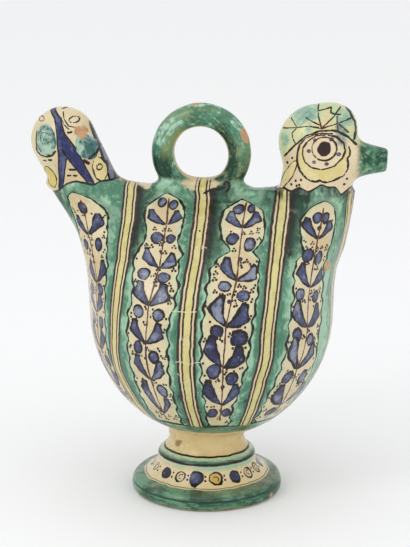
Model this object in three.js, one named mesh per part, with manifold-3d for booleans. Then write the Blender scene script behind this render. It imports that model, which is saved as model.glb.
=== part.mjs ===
// Bird-shaped jug of glazed earthenware: one fired piece with a ring handle, a beak spout and a pedestal foot.
// Millimetres, +Z up, +X towards the beak. The origin is the middle of the standing ring.
import * as THREE from "three";
import { ParametricGeometry } from "three/addons/geometries/ParametricGeometry.js";
import { mergeVertices } from "three/addons/utils/BufferGeometryUtils.js";
import Module from "manifold-3d";

// Body: round below the belly, drawn out to tail and breast and pinched to a ridge above it
const BODY_AXIS = 4;
const BELLY_RADIUS = 97;
const BELLY_HEIGHT = 150;
const BODY_DROP = 102;
const RIDGE_HEIGHT = 250;
const TAIL_REACH = 36;
const BREAST_REACH = 15;
const END_FULLNESS = 1.2;
const WALL = 7;

// Cavity of the body
const CAVITY_RADIUS = BELLY_RADIUS - WALL;
const CAVITY_DROP = 94;
const CAVITY_TOP = 241;

// Tail lobe
const TAIL_ROOT = new THREE.Vector3(-83, 0, 226);
const TAIL_TIP = new THREE.Vector3(-114.6, 0, 286);
const TAIL_ROOT_RADIUS = 24;
const TAIL_TIP_RADIUS = 26.6;
const TAIL_FLATNESS = 0.85;
const SADDLE_START = new THREE.Vector3(-84, 0, 240);
const SADDLE_END = new THREE.Vector3(-48, 0, 237);
const SADDLE_START_RADIUS = 19;
const SADDLE_END_RADIUS = 13;

// Neck, head and crest
const NECK_ROOT = new THREE.Vector3(80, 0, 215);
const NECK_TOP = new THREE.Vector3(88.5, 0, 268);
const NECK_RADIUS = 28;
const NAPE_START = new THREE.Vector3(70, 0, 238);
const NAPE_END = new THREE.Vector3(41, 0, 236.5);
const NAPE_START_RADIUS = 16;
const NAPE_END_RADIUS = 12.5;
const HEAD_CENTRE = new THREE.Vector3(86.5, 0, 288);
const HEAD_RADII = new THREE.Vector3(30, 25, 29.5);
const CREST_CENTRE = new THREE.Vector3(97, 0, 299.5);
const CREST_RADII = new THREE.Vector3(19.8, 15, 18.7);

// Beak, a cone along X with a bore through it
const BEAK_HEIGHT = 275.5;
const BEAK_ROOT = 98;
const BEAK_END = 141.3;
const BEAK_RADII = [19, 18.5, 16.8, 14.4, 12.2, 10.4, 9];
const BEAK_LIP = 1.5;
const SPOUT_BORE = 4.8;

// Ring handle
const RING_CENTRE = new THREE.Vector3(-4.5, 0, 277.6);
const RING_RADIUS = 30.4;
const RING_TUBE = 9;
const SEAT_START = new THREE.Vector3(-30, 0, 246);
const SEAT_END = new THREE.Vector3(21, 0, 246);
const SEAT_RADIUS = 10;

// Filling mouth on the far shoulder
const MOUTH_CENTRE = new THREE.Vector2(-40, 40);
const MOUTH_BORE = 12.5;
const MOUTH_LIP_RADIUS = 18.5;
const MOUTH_TOP = 240;
const MOUTH_BOTTOM = 206;

// Foot
const FOOT_RADIUS = 61;
const STANDING_RADIUS = 57;
const STEM_RADIUS = 30;
const STEM_TOP = 62;
const RECESS_RADIUS = 49;
const RECESS_DEPTH = 44;

const GLAZE = 0xdcd3ae;

const wasm = await Module();
wasm.setup();

// A closed geometry as a solid that can be joined and cut.
function solid(geometry) {
  geometry.deleteAttribute("normal");
  geometry.deleteAttribute("uv");
  const merged = mergeVertices(geometry, 1e-3);
  const corners = merged.index.array;
  const kept = [];
  for (let i = 0; i < corners.length; i += 3) {
    const [a, b, c] = corners.slice(i, i + 3);
    if (a !== b && b !== c && c !== a) kept.push(a, b, c);
  }
  const mesh = new wasm.Mesh({
    numProp: 3,
    vertProperties: new Float32Array(merged.attributes.position.array),
    triVerts: new Uint32Array(kept),
  });
  return new wasm.Manifold(mesh);
}

// A profile of radius and height turned about the Z axis.
function turned(profile, segments) {
  return new THREE.LatheGeometry(profile, segments).rotateX(Math.PI / 2);
}

// Half-widths of the body at a height, and the power that fills out the ends of the level section.
function bodySection(height, radius, drop, top) {
  if (height <= BELLY_HEIGHT) {
    const fall = Math.min((BELLY_HEIGHT - height) / drop, 1);
    const round = radius * Math.sqrt(1 - Math.pow(fall, 1.95));
    return { tail: round, breast: round, depth: round, power: 1 };
  }
  const rise = (height - BELLY_HEIGHT) / (RIDGE_HEIGHT - BELLY_HEIGHT);
  const pinch = Math.min((height - BELLY_HEIGHT) / (top - BELLY_HEIGHT), 1);
  return {
    tail: radius + TAIL_REACH * Math.pow(rise, 3),
    breast: radius + BREAST_REACH * THREE.MathUtils.smoothstep(rise, 0.2, 1.05),
    depth: radius * Math.pow(1 - Math.pow(pinch, 1.9), 0.85),
    power: 2 / (2 + END_FULLNESS * rise),
  };
}

// The body, or its cavity, as level sections from the lowest point to the ridge.
function bodyLoft(radius, drop, top, slices, stacks) {
  const bottom = BELLY_HEIGHT - drop;
  const surface = (u, v, target) => {
    const height = bottom + ((top - bottom) * (1 - Math.cos(Math.PI * v))) / 2;
    const { tail, breast, depth, power } = bodySection(height, radius, drop, top);
    const along = Math.cos(2 * Math.PI * u);
    const across = Math.sin(2 * Math.PI * u);
    const x = (along < 0 ? -tail : breast) * Math.pow(Math.abs(along), power);
    const y = Math.sign(across) * depth * Math.pow(Math.abs(across), power);
    target.set(BODY_AXIS + x, y, height);
  };
  return solid(new ParametricGeometry(surface, slices, stacks));
}

// A round-ended lobe between two centres in the middle plane, flattened in depth.
function lobe(from, to, startRadius, endRadius, flatness, segments) {
  const axis = to.clone().sub(from);
  const lean = Math.asin((startRadius - endRadius) / axis.length());
  const profile = new THREE.Path();
  profile.absarc(0, 0, startRadius, -Math.PI / 2, lean, false);
  profile.absarc(0, axis.length(), endRadius, lean, Math.PI / 2, false);
  const turn = new THREE.Quaternion().setFromUnitVectors(new THREE.Vector3(0, 1, 0), axis.normalize());
  const place = new THREE.Matrix4().makeRotationFromQuaternion(turn).setPosition(from);
  place.premultiply(new THREE.Matrix4().makeScale(1, flatness, 1));
  return solid(new THREE.LatheGeometry(profile.getPoints(4), segments).applyMatrix4(place));
}

// An egg shape with its own radius along each axis.
function egg(centre, radii, segments) {
  const ball = new THREE.SphereGeometry(1, segments, Math.round(segments * 0.6));
  return solid(ball.scale(radii.x, radii.y, radii.z).translate(centre.x, centre.y, centre.z));
}

// A turned shape along the X axis, at the height of the beak.
function alongBeak(profile, segments) {
  const shape = new THREE.LatheGeometry(profile, segments).rotateZ(-Math.PI / 2);
  return solid(shape.translate(0, 0, BEAK_HEIGHT));
}

// Beak
const beakCurve = new THREE.SplineCurve(
  BEAK_RADII.map((radius, i) => {
    const along = i / (BEAK_RADII.length - 1);
    return new THREE.Vector2(radius, THREE.MathUtils.lerp(BEAK_ROOT, BEAK_END - BEAK_LIP, along));
  }),
);
const beakProfile = [
  new THREE.Vector2(0, BEAK_ROOT),
  ...beakCurve.getPoints(7),
  new THREE.Vector2(BEAK_RADII.at(-1) - BEAK_LIP, BEAK_END),
  new THREE.Vector2(0, BEAK_END),
];
const beak = alongBeak(beakProfile, 22);
const spoutBore = alongBeak(
  [
    new THREE.Vector2(0, BEAK_ROOT - 6),
    new THREE.Vector2(SPOUT_BORE + 2.5, BEAK_ROOT - 6),
    new THREE.Vector2(SPOUT_BORE, BEAK_END - 8),
    new THREE.Vector2(SPOUT_BORE, BEAK_END + 4),
    new THREE.Vector2(0, BEAK_END + 4),
  ],
  16,
);

// Ring handle
const ring = solid(
  new THREE.TorusGeometry(RING_RADIUS, RING_TUBE, 14, 34)
    .rotateX(Math.PI / 2)
    .translate(RING_CENTRE.x, RING_CENTRE.y, RING_CENTRE.z),
);

// Filling mouth: a short collar with a rolled lip
const lip = new THREE.Path();
lip.moveTo(0, MOUTH_BOTTOM);
lip.lineTo(MOUTH_LIP_RADIUS - 1.5, MOUTH_BOTTOM);
lip.lineTo(MOUTH_LIP_RADIUS - 1.5, MOUTH_TOP - 7);
lip.absarc(MOUTH_LIP_RADIUS - 3, MOUTH_TOP - 3, 3, -0.6, Math.PI / 2, false);
lip.lineTo(0, MOUTH_TOP);
const mouthCollar = solid(turned(lip.getPoints(3), 24).translate(MOUTH_CENTRE.x, MOUTH_CENTRE.y, 0));
const mouthBore = solid(
  turned(
    [
      new THREE.Vector2(0, MOUTH_BOTTOM - 6),
      new THREE.Vector2(MOUTH_BORE, MOUTH_BOTTOM - 6),
      new THREE.Vector2(MOUTH_BORE, MOUTH_TOP + 4),
      new THREE.Vector2(0, MOUTH_TOP + 4),
    ],
    24,
  ).translate(MOUTH_CENTRE.x, MOUTH_CENTRE.y, 0),
);

// Foot: flange, sloping collar, moulding ring and stem
const footPath = new THREE.Path();
footPath.moveTo(0, 0);
footPath.lineTo(STANDING_RADIUS, 0);
footPath.quadraticCurveTo(FOOT_RADIUS, 0.5, FOOT_RADIUS, 5);
footPath.quadraticCurveTo(FOOT_RADIUS, 12, 56, 13.5);
footPath.lineTo(51.5, 14.5);
footPath.quadraticCurveTo(43, 17.5, 39, 26.5);
footPath.quadraticCurveTo(40.5, 32, 35, 35.5);
footPath.quadraticCurveTo(STEM_RADIUS, 39, STEM_RADIUS, 46);
footPath.lineTo(STEM_RADIUS + 2, STEM_TOP);
footPath.lineTo(0, STEM_TOP);
const foot = solid(turned(footPath.getPoints(3), 38));

// Hollow under the foot
const recessPath = new THREE.Path();
recessPath.moveTo(0, -4);
recessPath.lineTo(RECESS_RADIUS, -4);
recessPath.lineTo(RECESS_RADIUS, 0);
recessPath.quadraticCurveTo(RECESS_RADIUS - 8, 5, 30, 19);
recessPath.quadraticCurveTo(22, 26, 20, RECESS_DEPTH - 8);
recessPath.quadraticCurveTo(19, RECESS_DEPTH, 0, RECESS_DEPTH);
const footRecess = solid(turned(recessPath.getPoints(3), 32));

// Outer form
const body = bodyLoft(BELLY_RADIUS, BODY_DROP, RIDGE_HEIGHT, 40, 21);
const tail = lobe(TAIL_ROOT, TAIL_TIP, TAIL_ROOT_RADIUS, TAIL_TIP_RADIUS, TAIL_FLATNESS, 28);
const saddle = lobe(SADDLE_START, SADDLE_END, SADDLE_START_RADIUS, SADDLE_END_RADIUS, 0.9, 18);
const nape = lobe(NAPE_START, NAPE_END, NAPE_START_RADIUS, NAPE_END_RADIUS, 0.9, 16);
const seat = lobe(SEAT_START, SEAT_END, SEAT_RADIUS, SEAT_RADIUS, 1, 16);
const neck = lobe(NECK_ROOT, NECK_TOP, NECK_RADIUS, NECK_RADIUS, 0.95, 26);
const head = egg(HEAD_CENTRE, HEAD_RADII, 28);
const crest = egg(CREST_CENTRE, CREST_RADII, 20);
const outside = wasm.Manifold.union([
  body,
  tail,
  saddle,
  neck,
  nape,
  head,
  crest,
  beak,
  ring,
  seat,
  mouthCollar,
  foot,
]);

// Inner form: body, tail, neck and head open into each other
const bodyCavity = bodyLoft(CAVITY_RADIUS, CAVITY_DROP, CAVITY_TOP, 28, 13);
const tailCavity = lobe(TAIL_ROOT, TAIL_TIP, TAIL_ROOT_RADIUS - WALL, TAIL_TIP_RADIUS - WALL, 0.8, 16);
const neckCavity = lobe(NECK_ROOT, NECK_TOP, NECK_RADIUS - WALL, NECK_RADIUS - WALL, 0.92, 16);
const headCavity = egg(HEAD_CENTRE, HEAD_RADII.clone().subScalar(WALL), 18);
const inside = wasm.Manifold.union([bodyCavity, tailCavity, neckCavity, headCavity, spoutBore, mouthBore]);

const jugSolid = outside.subtract(inside).subtract(footRecess);

// The solid as a shaded mesh.
function meshOf(made, name, colour) {
  const { vertProperties, triVerts } = made.getMesh();
  const geometry = new THREE.BufferGeometry();
  geometry.setAttribute("position", new THREE.BufferAttribute(vertProperties, 3));
  geometry.setIndex(new THREE.BufferAttribute(triVerts, 1));
  const mesh = new THREE.Mesh(geometry, new THREE.MeshStandardMaterial({ color: colour, roughness: 0.3 }));
  mesh.name = name;
  return mesh;
}

const group = new THREE.Group();
group.add(meshOf(jugSolid, "jug", GLAZE));
export default group;
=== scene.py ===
import math
import bpy
import numpy as np
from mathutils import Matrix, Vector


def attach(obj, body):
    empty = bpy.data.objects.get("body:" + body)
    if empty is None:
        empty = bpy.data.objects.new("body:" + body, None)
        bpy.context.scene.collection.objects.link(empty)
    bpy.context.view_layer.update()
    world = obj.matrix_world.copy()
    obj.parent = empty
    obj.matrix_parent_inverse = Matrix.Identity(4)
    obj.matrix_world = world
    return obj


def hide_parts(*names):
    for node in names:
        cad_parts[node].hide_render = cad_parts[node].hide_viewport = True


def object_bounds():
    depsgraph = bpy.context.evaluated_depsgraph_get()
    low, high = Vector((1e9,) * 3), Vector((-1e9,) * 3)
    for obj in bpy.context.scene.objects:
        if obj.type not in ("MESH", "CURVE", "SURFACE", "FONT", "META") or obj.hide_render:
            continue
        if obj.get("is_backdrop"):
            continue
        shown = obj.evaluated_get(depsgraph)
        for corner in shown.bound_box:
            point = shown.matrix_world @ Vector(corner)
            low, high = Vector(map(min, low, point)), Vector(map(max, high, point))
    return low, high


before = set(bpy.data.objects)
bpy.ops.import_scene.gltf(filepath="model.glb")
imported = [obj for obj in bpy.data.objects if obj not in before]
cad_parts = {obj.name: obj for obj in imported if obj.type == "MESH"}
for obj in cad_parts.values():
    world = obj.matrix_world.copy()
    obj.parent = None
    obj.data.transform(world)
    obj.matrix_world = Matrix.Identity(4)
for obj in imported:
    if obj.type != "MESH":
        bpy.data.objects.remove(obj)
cad_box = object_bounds()

# Form of the jug, in millimetres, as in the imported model
BODY_AXIS = 4.0
BELLY_RADIUS = 97.0
BELLY_HEIGHT = 150.0
BODY_DROP = 102.0
RIDGE_HEIGHT = 250.0
OUTER_BODY = (BELLY_RADIUS, BODY_DROP, RIDGE_HEIGHT)
TAIL_REACH = 36.0
BREAST_REACH = 15.0
END_FULLNESS = 1.2
WALL = 7.0
RING_CENTRE = (-4.5, 0.0, 276.8)
RING_RADIUS = 30.4
RING_TUBE = 9.0
BEAK_HEIGHT = 275.5
BEAK_END = 141.3
SPOUT_RADIUS = 4.8
MOUTH = (-40.0, 40.0)
COLLAR_RADIUS, LIP_RADIUS, OPENING_RADIUS = 17.0, 15.6, 12.5
LIP_HEIGHT, LIP_TUBE = 236.8, 3.1
OUTER_CELL = 1.95
INNER_CELL = 4.0
MILLIMETRES = 1000.0

# Lobes: start and end as length and height, radius at each, and flatness in depth
TAIL_LOBE = ((-83, 226), (-115.2, 284.6), 24, 25.7, 0.85)
TAIL_SADDLE = ((-84, 239), (-48, 236), 18, 12.5, 0.9)
NECK_LOBE = ((80, 215), (88.5, 268), 28, 28, 0.95)
NECK_SADDLE = ((70, 237), (41, 235.5), 15.5, 12.5, 0.9)
RING_SEAT = ((-30, 247.4), (21, 247.4), 10, 10, 1)
TAIL_HOLLOW = ((-83, 226), (-114.6, 286), 17, 19.6, 0.8)
NECK_HOLLOW = ((80, 215), (88.5, 268), 21, 21, 0.92)
# Eggs: middle and half sizes
HEAD_EGG = ((86.5, 0, 288), (30, 25, 29.5))
CREST_EGG = ((97, 0, 300.2), (19.8, 15, 18.9))
HEAD_HOLLOW = ((86.5, 0, 288), (23, 18, 22.5))
# Body's cavity: drop below the belly, and height of its top
CAVITY_DROP, CAVITY_TOP = 94.0, 241.0


# Value between the rows of a table of places and values
def from_table(value, table):
    return np.interp(value, *np.array(table, float).T)


def smoothstep(value, low, high):
    t = np.clip((value - low) / (high - low), 0.0, 1.0)
    return t * t * (3 - 2 * t)


# Level section of the body at a height: reach to the tail and the breast, half depth, and power
def body_section(z, radius, drop, top):
    fall = np.clip((BELLY_HEIGHT - z) / drop, 0.0, 1.0)
    rise = np.clip((z - BELLY_HEIGHT) / (RIDGE_HEIGHT - BELLY_HEIGHT), 0.0, 1.0)
    pinch = np.clip((z - BELLY_HEIGHT) / (top - BELLY_HEIGHT), 0.0, 1.0)
    low = radius * np.sqrt(1 - fall**1.95)
    tail = low + TAIL_REACH * rise**3
    breast = low + BREAST_REACH * smoothstep(rise, 0.2, 1.05)
    depth = low * (1 - pinch**1.9) ** 0.85
    return tail, breast, depth, 2 + END_FULLNESS * rise


# Fields: negative inside, close to the distance in millimetres near the surface
def level_value(p, z, radius, drop, top):
    tail, breast, depth, power = body_section(z, radius, drop, top)
    x = p[..., 0] - BODY_AXIS
    along = np.abs(x) / np.where(x < 0, tail, breast)
    across = np.abs(p[..., 1]) / depth
    return (along**power + across**power + 1e-9) ** (1 / power)


def body_field(p, radius, drop, top):
    bottom = BELLY_HEIGHT - drop
    z = np.clip(p[..., 2], bottom + 0.6, top - 3.0)
    value = level_value(p, z, radius, drop, top)
    step = 0.4
    east = level_value(p + np.array([step, 0, 0]), z, radius, drop, top)
    north = level_value(p + np.array([0, step, 0]), z, radius, drop, top)
    above = level_value(p, np.minimum(z + step, top - 0.5), radius, drop, top)
    slope = np.sqrt((east - value) ** 2 + (north - value) ** 2 + (above - value) ** 2) / step
    side = (value - 1) / np.maximum(slope, 0.004)
    side = np.clip(side, -60, 60)
    return np.maximum(side, np.maximum(p[..., 2] - top, bottom - p[..., 2]))


def lobe_field(p, start, end, start_radius, end_radius, flatness):
    a = np.array([start[0], 0.0, start[1]])
    axis = np.array([end[0] - start[0], 0.0, end[1] - start[1]])
    q = p * np.array([1, 1 / flatness, 1]) - a
    t = np.clip(q @ axis / (axis @ axis), 0, 1)
    reach = np.linalg.norm(q - t[..., None] * axis, axis=-1)
    return (reach - start_radius - t * (end_radius - start_radius)) * (0.5 + 0.5 * flatness)


def egg_field(p, centre, radii):
    q = (p - np.array(centre)) / np.array(radii)
    k = np.linalg.norm(q, axis=-1)
    g = np.linalg.norm(q / np.array(radii), axis=-1)
    return k * (k - 1) / np.maximum(g, 1e-6)


def turned_field(distance, height, heights, radii):
    radius = np.interp(height, heights, radii)
    rise = np.interp(height + 0.3, heights, radii) - np.interp(height - 0.3, heights, radii)
    side = (distance - radius) / np.sqrt(1 + (rise / 0.6) ** 2)
    return np.maximum(side, np.maximum(heights[0] - height, height - heights[-1]))


def join(a, b, k):
    h = np.clip(0.5 + 0.5 * (b - a) / k, 0, 1)
    return b * (1 - h) + a * h - k * h * (1 - h)


def cut(a, b, k):
    return -join(-a, b, k)


# Turned profiles: heights and radii
def bend(a, b, c, count=10):
    t = np.linspace(0, 1, count)[:, None]
    a, b, c = (np.array(v, float) for v in (a, b, c))
    return list(map(tuple, (1 - t) ** 2 * a + 2 * t * (1 - t) * b + t**2 * c))


foot_line = (
    bend((0.0, 57.0), (0.5, 61.0), (5.0, 61.0))
    + bend((5.0, 61.0), (12.0, 61.0), (13.5, 56.0))
    + bend((13.5, 56.0), (14.0, 53.0), (14.5, 51.5), 4)
    + bend((14.5, 51.5), (17.5, 43.0), (26.5, 39.0))
    + bend((26.5, 39.0), (32.0, 41.0), (35.5, 35.0))
    + bend((35.5, 35.0), (39.0, 30.0), (46.0, 30.0))
    + [(62.0, 32.0)]
)
FOOT_HEIGHTS, FOOT_RADII = np.array(sorted(set(foot_line))).T
recess_line = (
    bend((0.0, 49.0), (5.0, 41.0), (19.0, 30.0))
    + bend((19.0, 30.0), (26.0, 22.0), (36.0, 20.0))
    + bend((36.0, 20.0), (44.0, 19.0), (44.3, 1.0))
)
RECESS_HEIGHTS, RECESS_RADII = np.array(sorted(set([(-6.0, 51.0)] + recess_line))).T
BEAK_PLACES = np.linspace(98.0, BEAK_END - 1.5, 7)
BEAK_RADII = np.array([19, 18.5, 16.8, 14.4, 12.2, 10.4, 9.0])


# Gentle unevenness of a hand-built surface
def unevenness(p):
    x, y, z = p[..., 0], p[..., 1], p[..., 2]
    slow = np.sin(0.061 * x + 0.043 * y + 0.5) * np.sin(0.057 * z - 0.03 * y)
    slow = slow + np.sin(0.09 * y - 0.05 * z + 1.3)
    fine = np.sin(0.21 * x + 0.17 * z) * np.sin(0.19 * y - 0.23 * z + 0.8)
    return 0.3 * slow + 0.12 * fine


def outer_field(p):
    x, y, z = p[..., 0], p[..., 1], p[..., 2]
    f = body_field(p, *OUTER_BODY)
    f = join(f, lobe_field(p, *TAIL_LOBE), 9)
    f = join(f, lobe_field(p, *TAIL_SADDLE), 5)
    head = lobe_field(p, *NECK_LOBE)
    head = join(head, egg_field(p, *HEAD_EGG), 5)
    head = join(head, egg_field(p, *CREST_EGG), 4)
    around = np.hypot(y, z - BEAK_HEIGHT)
    beak = turned_field(around, x, BEAK_PLACES, BEAK_RADII)
    beak = np.where(x > BEAK_PLACES[-1], cut(around - 9, BEAK_END - x, 3.5), beak)
    head = join(head, beak, 7)
    f = join(f, head, 8)
    f = join(f, lobe_field(p, *NECK_SADDLE), 5)
    out = np.hypot(x - RING_CENTRE[0], z - RING_CENTRE[2]) - RING_RADIUS
    ring = np.hypot(out, y) - RING_TUBE
    f = join(f, join(ring, lobe_field(p, *RING_SEAT), 5), 9)
    foot = turned_field(np.hypot(x, y), z, FOOT_HEIGHTS, FOOT_RADII)
    f = join(f, foot, 3)
    off_mouth = np.hypot(x - MOUTH[0], y - MOUTH[1])
    collar = np.maximum(off_mouth - COLLAR_RADIUS, np.abs(z - 219.5) - 16.5)
    lip = np.hypot(off_mouth - LIP_RADIUS, z - LIP_HEIGHT) - LIP_TUBE
    f = join(f, join(collar, lip, 3), 5) + unevenness(p)
    f = cut(f, np.maximum(off_mouth - OPENING_RADIUS, 200 - z), 2)
    bore = np.maximum(around - SPOUT_RADIUS, 100 - x)
    f = cut(f, bore, 1.6)
    recess = turned_field(np.hypot(x, y), z, RECESS_HEIGHTS, RECESS_RADII)
    f = cut(f, recess, 1.5)
    return np.maximum(f, -z)


def cavity_field(p):
    f = body_field(p, BELLY_RADIUS - WALL, CAVITY_DROP, CAVITY_TOP)
    f = join(f, lobe_field(p, *TAIL_HOLLOW), 5)
    head = lobe_field(p, *NECK_HOLLOW)
    head = join(head, egg_field(p, *HEAD_HOLLOW), 4)
    return join(f, head, 5)


# Surface of a field as quads on a regular grid, drawn onto the true surface
def surface_of(field, low, high, cell):
    axes = [np.arange(a, b + cell, cell) for a, b in zip(low, high)]
    shape = tuple(len(a) for a in axes)
    values = np.empty(shape)
    for i, x in enumerate(axes[0]):
        y, z = np.meshgrid(axes[1], axes[2], indexing="ij")
        values[i] = field(np.stack([np.full_like(y, x), y, z], axis=-1))
    inside = values < 0
    corner = lambda a, i, j, k: a[i : shape[0] - 1 + i, j : shape[1] - 1 + j, k : shape[2] - 1 + k]
    total = np.zeros(tuple(s - 1 for s in shape) + (3,))
    count = np.zeros(tuple(s - 1 for s in shape))
    for axis in range(3):
        for j in (0, 1):
            for k in (0, 1):
                start = [j, k]
                start.insert(axis, 0)
                end = [j, k]
                end.insert(axis, 1)
                a, b = corner(values, *start), corner(values, *end)
                crossed = (a < 0) != (b < 0)
                part = np.where(crossed, a / np.where(crossed, a - b, 1), 0)
                for d in range(3):
                    offset = part if d == axis else start[d]
                    total[..., d] += np.where(crossed, offset, 0)
                count += crossed
    active = count > 0
    index = np.full(active.shape, -1)
    index[active] = np.arange(active.sum())
    cells = np.argwhere(active)
    points = np.array(low) + cell * (cells + total[active] / count[active][:, None])
    quads = []
    for axis in range(3):
        u, v = [d for d in range(3) if d != axis]
        first = np.take(inside, range(shape[axis] - 1), axis)
        last = np.take(inside, range(1, shape[axis]), axis)
        place = np.argwhere(first != last)
        at_u, at_v = place[:, u], place[:, v]
        place = place[(at_u > 0) & (at_v > 0) & (at_u < shape[u] - 1) & (at_v < shape[v] - 1)]
        ring = []
        for du, dv in ((1, 1), (0, 1), (0, 0), (1, 0)):
            at = place.copy()
            at[:, u] -= du
            at[:, v] -= dv
            ring.append(index[tuple(at.T)])
        ring = np.stack(ring, axis=1)
        outward = first[tuple(place.T)]
        if axis == 1:
            outward = ~outward
        ring[~outward] = ring[~outward][:, ::-1]
        quads.append(ring)
    for _ in range(3):
        value = field(points)
        slope = np.stack([field(points + d) - value for d in 0.25 * np.eye(3)], axis=-1) / 0.25
        size = np.maximum((slope**2).sum(-1), 0.15)
        move = slope * (value / size)[:, None]
        far = np.linalg.norm(move, axis=1, keepdims=True)
        points = points - move * np.minimum(1, 0.6 * cell / np.maximum(far, 1e-9))
    return points, np.concatenate(quads)


def mesh_object(name, points, faces):
    mesh = bpy.data.meshes.new(name)
    mesh.from_pydata(points, [], faces)
    mesh.validate()
    made = bpy.data.objects.new(name, mesh)
    bpy.context.scene.collection.objects.link(made)
    return made


outer_points, outer_quads = surface_of(outer_field, (-147, -103, -3.1), (147, 103, 323), OUTER_CELL)
jug = mesh_object("painted_jug", (outer_points / MILLIMETRES).tolist(), outer_quads.tolist())
hollow_points, hollow_quads = surface_of(cavity_field, (-142, -98, 48), (124, 98, 316), INNER_CELL)
hollow = mesh_object("hollow", (hollow_points / MILLIMETRES).tolist(), hollow_quads.tolist())
carve = jug.modifiers.new("carve", "BOOLEAN")
carve.operation = "DIFFERENCE"
carve.solver = "MANIFOLD"
carve.object = hollow
jug.modifiers.new("triangles", "TRIANGULATE")
bpy.context.view_layer.update()
carved = bpy.data.meshes.new_from_object(jug.evaluated_get(bpy.context.evaluated_depsgraph_get()))
jug.modifiers.clear()
jug.data = carved
bpy.data.objects.remove(hollow)
carved.name = "painted_jug"
carved.shade_smooth()

vertex_count = len(carved.vertices)
face_count = len(carved.polygons)
points = np.empty(vertex_count * 3, np.float32)
carved.vertices.foreach_get("co", points)
points = points.reshape(-1, 3).astype(float) * MILLIMETRES
corners = np.empty(face_count * 3, np.int32)
carved.loops.foreach_get("vertex_index", corners)
corners = corners.reshape(-1, 3)
middles = points[corners].mean(1)

# Painted layout of the body: stripes at these turns, seen from above, with a panel between each two
STRIPES = [-42.0, -3.0, 35.0, 84.0, 131.0, 178.0, 224.5, 271.0]
PANELS = len(STRIPES)
# Breadth of the stripes at these heights, and how far those in sight lean from their turn, by height
STRIPE_HEIGHTS = (-90, 20, 115)
STRIPE_WIDTHS = {0: (0.75, 0.8, 0.91), 1: (0.85, 0.85, 0.8), 2: (0.78, 0.85, 1.12)}
PLAIN_WIDTHS = (0.62, 0.67, 0.87)
STRIPE_LEANS = {
    0: [(-90, -9), (-69, -9), (-35, -7), (-8, -0.4), (26, 3.7), (62, 7.2), (102, 6.3), (136, 2.2)],
    1: [(-77, 0.6), (-51, -0.7), (-31, -0.3), (2, 0.6), (33, 1.4), (66, 3.5), (105, 2.7), (146, -0.6)],
    2: [(-91, 5.3), (-65, 3.4), (-33, -1.8), (0, -1.0), (32, 2.6), (67, 4.0), (107, 3.8), (146, 3.8)],
}
PANEL_FLOOR = -86.0
PLAIN_EDGE = [
    (-86, 11), (-55, 15), (-30, 18), (0, 19.5), (54, 20), (70, 18), (80, 14), (92, 15.5), (107, 17),
    (118, 15), (128, 9), (137, 0),
]
PANEL_EDGES = {
    0: (
        [
            (-86, -18), (-75, -20.6), (-61, -22), (-30, -18.6), (-4, -17.6), (19, -15.7), (35, -12.6),
            (54, -14.6), (68, -14.4), (80, -8), (92, -7.2), (107, -12.2), (118, -11.5), (128, -4.3),
            (137, 3.9),
        ],
        [
            (-86, 9), (-70, 11), (-53, 14), (-36, 16), (-10, 19), (13, 19), (24, 22.4), (42, 24.9),
            (57, 23.4), (71, 24.8), (84, 19.2), (94, 21.8), (109, 22.1), (120, 19.6), (129, 14), (137, 3.9),
        ],
    ),
    1: (
        [
            (-86, -9), (-57, -14.5), (-27, -19.9), (3, -20.5), (33, -18.9), (56, -17.1), (67, -13.7),
            (75, -3), (87, -11.4), (101, -14.7), (117, -13.6), (131, -1),
        ],
        [
            (-86, 10), (-58, 11.2), (-28, 13.5), (3, 17.7), (43, 22.6), (67, 20.6), (75, 15.5), (88, 22.7),
            (103, 21.9), (118, 18.2), (131, -1),
        ],
    ),
    2: (
        [
            (-86, -14), (-53, -23), (-23, -26), (2, -24), (33, -18.3), (47, -19.3), (64, -18.8), (71, -12.2),
            (88, -16.7), (107, -19.5), (128, -10.7), (140, 0.6),
        ],
        [
            (-86, 14), (-53, 19), (-33, 17), (-7, 13), (5, 16.9), (22, 18.8), (38, 17.6), (55, 14.3),
            (69, 15.7), (84, 18.2), (105, 16.3), (127, 10.6), (140, 0.6),
        ],
    ),
    7: (
        [
            (-86, -8), (-30, -14), (0, -14), (54, -13), (70, -12), (80, -10), (107, -12), (126, -7), (138, 4),
        ],
        [
            (-86, 18), (-30, 25), (0, 27), (30, 29), (55, 30), (80, 28), (105, 27), (125, 16), (138, 4),
        ],
    ),
}
# Stems of the panels in sight, from the top down, as side and height
PANEL_STEMS = {
    0: [(6, 129), (8.8, 99), (8.3, 57), (2.5, 26.6), (0.3, -3.6), (-1.3, -35), (-5, -71), (-5.5, -80)],
    1: [(3, 126), (3.6, 98), (4.3, 50), (-1.8, 13.4), (-3.6, -19), (0.2, -56), (1, -76)],
    2: [(0, 125), (-0.8, 86), (-0.9, 38), (-3, 3.5), (-7, -29), (2, -66), (2, -78)],
    7: [(6, 124), (7.6, 81.7), (16, 36), (12, 8), (11, -30), (8, -76)],
}
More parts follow.
